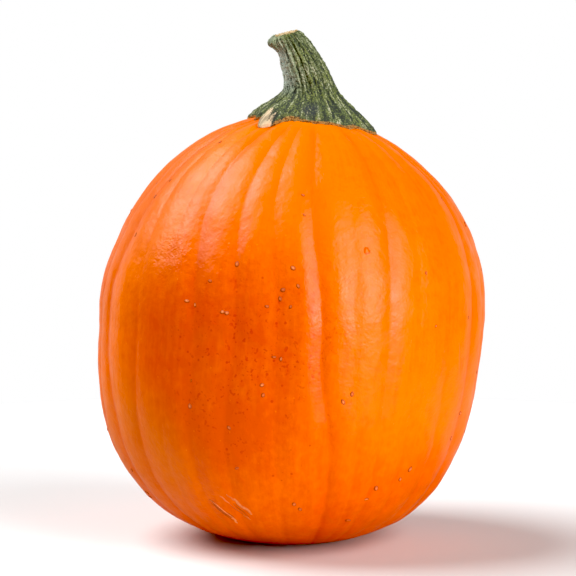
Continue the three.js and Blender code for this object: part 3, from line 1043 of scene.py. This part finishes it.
def scatter_piece(name, material, spots, height_share, unevenness):
    """One piece of lumps on spots, each (place in mm, facing, length in mm, slimness, turn in radians,
    paleness)."""
    mesh = bpy.data.meshes.new(name)
    mesh.from_pydata([tuple(Vector(s[0]) * MM) for s in spots], [], [])
    for column, key in enumerate(("facing", "size", "slimness", "turn", "paleness"), 1):
        unit = MM if key == "size" else 1
        add_attribute(mesh, key, [s[column] * unit for s in spots])
    inputs = {"Height share": height_share, "Unevenness": unevenness, "Seed": 9, "Material": material}
    piece = apply_tree(add_object(name, mesh), make_speck_tree(name, inputs), inputs)
    piece.data.shade_smooth()
    return piece


def speck_draws(random):
    """A speck's slimness, turn and paleness."""
    return random.uniform(0.55, 0.85), random.uniform(0, math.pi), random.uniform(0.45, 1.0)


def make_specks(material, skin):
    random = np.random.default_rng(SEED + 2)
    tree = surface_of(skin.data)
    spots = []
    for across, up, length in FRONT_SPECKS:
        place, normal = seen_at(tree, across, up)
        spots.append((place, normal, SPECK_SPREAD * length, *speck_draws(random)))
    while len(spots) < len(FRONT_SPECKS) + OTHER_SPECKS:
        azimuth, latitude = random.uniform(62, 298), random.uniform(*SPECK_LATITUDES)
        about = Vector(skin_points(np.array(azimuth), np.array(latitude))) * MM
        place, normal, _, _ = tree.find_nearest(about)
        size = SPECK_SPREAD * random.uniform(1.6, 3.0)
        spots.append((place / MM, normal, size, *speck_draws(random)))
    return scatter_piece("cork_specks", material, spots, *SPECK_SHAPE)


# Corky crumbs that fray the edge of the stem's foot
CRUMBS = 230
CRUMB_SHAPE = (0.26, 0.34)


def make_fringe(material, skin):
    random = np.random.default_rng(SEED + 3)
    tree = surface_of(skin.data)
    spots = []
    for k in range(CRUMBS):
        azimuth = 360 * (k + random.uniform(-0.5, 0.5)) / CRUMBS
        if abs(turns_apart(azimuth, PALE_LOBE[0])) < PALE_LOBE[1]:
            continue
        radius = stem_radius(azimuth, 0.0) + random.uniform(-1.1, 0.5)
        about = Vector(over_crown(np.array(azimuth), np.array(radius), 0.0)) * MM
        place, normal, _, _ = tree.find_nearest(about)
        outward = Vector((math.sin(math.radians(azimuth)), -math.cos(math.radians(azimuth)), 0))
        facing = (normal + outward * random.uniform(0, 0.3)).normalized()
        size = random.uniform(0.5, 2.0)
        slimness = random.uniform(0.4, 0.9)
        turn = random.uniform(0, 2 * math.pi)
        spots.append((place / MM, facing, size, slimness, turn, 1.0))
    return scatter_piece("foot_fringe", material, spots, *CRUMB_SHAPE)


# Scars on the skin: each is a thin strip of cork from one place to another, as the camera sees them,
# with its width and how high it stands, in mm, and how pale it is, from 0 to 1
SCARS = [
    ((-49.6, -108.5), (-32.0, -122.5), 3.3, 0.10, 0.28),
    ((-48.6, -108.9), (-33.0, -121.0), 1.1, 0.24, 0.85),
    ((-48.0, -110.6), (-35.6, -120.8), 0.9, 0.22, 0.0),
    ((-36.0, -118.8), (-32.2, -122.6), 2.0, 0.26, 0.85),
    ((-42.9, -106.2), (-37.2, -111.0), 1.2, 0.22, 0.75),
    ((-37.6, -111.0), (-26.0, -119.6), 1.0, 0.16, 0.35),
    ((-29.0, -117.6), (-24.3, -120.6), 1.5, 0.22, 0.70),
    ((-35.2, -110.8), (-25.2, -119.0), 0.9, 0.18, 0.0),
    ((-39.4, -105.2), (-34.2, -109.2), 1.3, 0.20, 0.60),
    ((-35.2, -108.0), (-23.6, -117.6), 2.9, 0.28, 0.80),
    ((99.4, -15.0), (98.9, -41.0), 0.5, 0.12, 0.60),
    ((100.8, -22.0), (100.2, -36.0), 0.4, 0.12, 0.60),
    ((-94.6, 66.5), (-96.6, 60.5), 2.6, 0.35, 0.70),
]
SCAR_STEPS = 24
SCAR_SIDES = 7
SCAR_ROOT = -0.15  # its edges lie a little under the skin


def make_scars(material, skin):
    """Strips of cork laid along the skin, thickest in their middle."""
    tree = surface_of(skin.data)
    random = np.random.default_rng(SEED + 4)
    points, faces, lift = [], [], []
    for start, end, width, height, paleness in SCARS:
        base = len(points)
        phase = random.uniform(0, 2 * math.pi)
        spine = []
        for i in range(SCAR_STEPS):
            s = i / (SCAR_STEPS - 1)
            sway = 0.1 * width * math.sin(3 * math.pi * s + phase)
            across = start[0] + (end[0] - start[0]) * s + sway
            up = start[1] + (end[1] - start[1]) * s + sway
            spine.append(seen_at(tree, across, up))
        for i, (place, normal) in enumerate(spine):
            s = i / (SCAR_STEPS - 1)
            before, following = spine[max(i - 1, 0)][0], spine[min(i + 1, SCAR_STEPS - 1)][0]
            side = (following - before).cross(normal).normalized()
            half = 0.5 * width * (0.08 + 0.92 * math.sin(math.pi * s) ** 0.4)
            for j in range(SCAR_SIDES):
                u = 2 * j / (SCAR_SIDES - 1) - 1
                top = height * (1 - u * u) * (0.4 + 0.6 * math.sin(math.pi * s))
                rough = 0.25 * height * random.uniform(-1, 1)
                stand = (top + rough) if abs(u) < 1 else SCAR_ROOT
                points.append(place + side * (half * u) + normal * stand)
                lift.append(paleness * (1 - u**4) * random.uniform(0.75, 1.0))
        for i in range(SCAR_STEPS - 1):
            for j in range(SCAR_SIDES - 1):
                a = base + i * SCAR_SIDES + j
                faces.append((a, a + 1, a + 1 + SCAR_SIDES, a + SCAR_SIDES))
    mesh = bpy.data.meshes.new("skin_scars")
    mesh.from_pydata([tuple(p * MM) for p in points], [], faces)
    add_attribute(mesh, "lift", lift)
    add_attribute(mesh, "paleness", np.ones(len(lift)))
    mesh.materials.append(material)
    mesh.shade_smooth()
    mesh.update()
    return add_object("skin_scars", mesh)


# The pieces

bark = make_bark_material()
cork = make_cork_material()
flake = make_flake_material()

skin = make_skin()
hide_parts("fruit")

stem = make_stem(bark)
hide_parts("stem")

specks = make_specks(cork, skin)
fringe = make_fringe(flake, skin)
scars = make_scars(cork, skin)

for piece in (skin, stem, specks, fringe, scars):
    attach(piece, "root")


# The stage: a pale floor, soft light and the camera

FLOOR_RADIUS = 0.6  # in metres
FLOOR_SIDES = 96
# Round soft boxes far off: where each stands, in degrees from the front to the right and up, how wide it
# looks from the fruit, in degrees, and how bright it is. The two side boxes stand one above the other.
SOFT_BOXES = {
    "side_box_low": {"azimuth": 46, "elevation": 10, "width": 29, "radiance": 12.2},
    "side_box_high": {"azimuth": 52, "elevation": 38, "width": 35, "radiance": 5.2},
    "top_box": {"azimuth": -101, "elevation": 53, "width": 48, "radiance": 7.4},
    "rim_box_left": {"azimuth": -137, "elevation": 4, "width": 30, "radiance": 0.7},
    "rim_box_right": {"azimuth": 142, "elevation": 4, "width": 26, "radiance": 0.5},
}
WORLD_AROUND = 0.07  # how bright the surroundings are
WORLD_BACK = 0.50  # and the backdrop behind the object
SENSOR_WIDTH = 36  # the camera's, in mm
BLACK_LEVEL = 0.03  # of the picture: tones up to it turn black
FLOOR_TONE = 0.80
FLOOR_GLOSS_TONE = 0.40  # as the object's gloss sees the floor: a little darker


def make_floor(material):
    turns = [2 * math.pi * k / FLOOR_SIDES for k in range(FLOOR_SIDES)]
    ring = [(FLOOR_RADIUS * math.cos(t), FLOOR_RADIUS * math.sin(t), 0) for t in turns]
    mesh = bpy.data.meshes.new("floor")
    mesh.from_pydata(ring, [], [tuple(range(FLOOR_SIDES))])
    mesh.materials.append(material)
    floor = add_object("floor", mesh)


def make_lights():
    """Each soft box is a sun as wide as the box looks, so its light is the same all over."""
    for name, box in SOFT_BOXES.items():
        t, a = math.radians(box["azimuth"]), math.radians(box["elevation"])
        away = Vector((math.sin(t) * math.cos(a), -math.cos(t) * math.cos(a), math.sin(a)))
        data = bpy.data.lights.new(name, "SUN")
        data.angle = math.radians(box["width"])
        data.energy = box["radiance"] * math.pi * math.sin(data.angle / 2) ** 2
        light = add_object(name, data)
        light.location = BELLY * MM + away
        light.rotation_euler = away.to_track_quat("Z", "Y").to_euler()


def make_world():
    """White to the camera, and to the object dim with a brighter backdrop."""
    world = bpy.data.worlds.new("studio")
    world.use_nodes = True
    world.node_tree.nodes.clear()
    m = Maker(world.node_tree)
    way = m.add("ShaderNodeSeparateXYZ", {0: m.add("ShaderNodeTexCoord").outputs["Generated"]})
    glow = m.between(way.outputs[1], 0.65, 0.95, WORLD_AROUND, WORLD_BACK)
    around = m.add("ShaderNodeBackground", {"Color": (1, 1, 1, 1), "Strength": glow})
    white = m.add("ShaderNodeBackground", {"Color": (1, 1, 1, 1), "Strength": 1.0})
    seen = m.add("ShaderNodeLightPath").outputs["Is Camera Ray"]
    both = m.add("ShaderNodeMixShader", {0: seen, 1: around.outputs[0], 2: white.outputs[0]})
    m.add("ShaderNodeOutputWorld", {"Surface": both.outputs[0]})
    bpy.context.scene.world = world


def make_camera():
    data = bpy.data.cameras.new("camera")
    data.sensor_width = SENSOR_WIDTH
    data.lens = SENSOR_WIDTH * VIEW_DISTANCE / FRAME_WIDTH
    camera = add_object("camera", data)
    target = BELLY + VIEW_RIGHT * AIM_ACROSS + VIEW_UP * AIM_UP
    camera.location = EYE * MM
    camera.rotation_euler = (target - EYE).to_track_quat("-Z", "Y").to_euler()
    bpy.context.scene.camera = camera


make_floor(make_floor_material())
make_lights()
make_world()
make_camera()
view = bpy.context.scene.view_settings
view.view_transform = "Standard"
view.use_curve_mapping = True
view.curve_mapping.black_level = (BLACK_LEVEL, BLACK_LEVEL, BLACK_LEVEL)
view.curve_mapping.update()
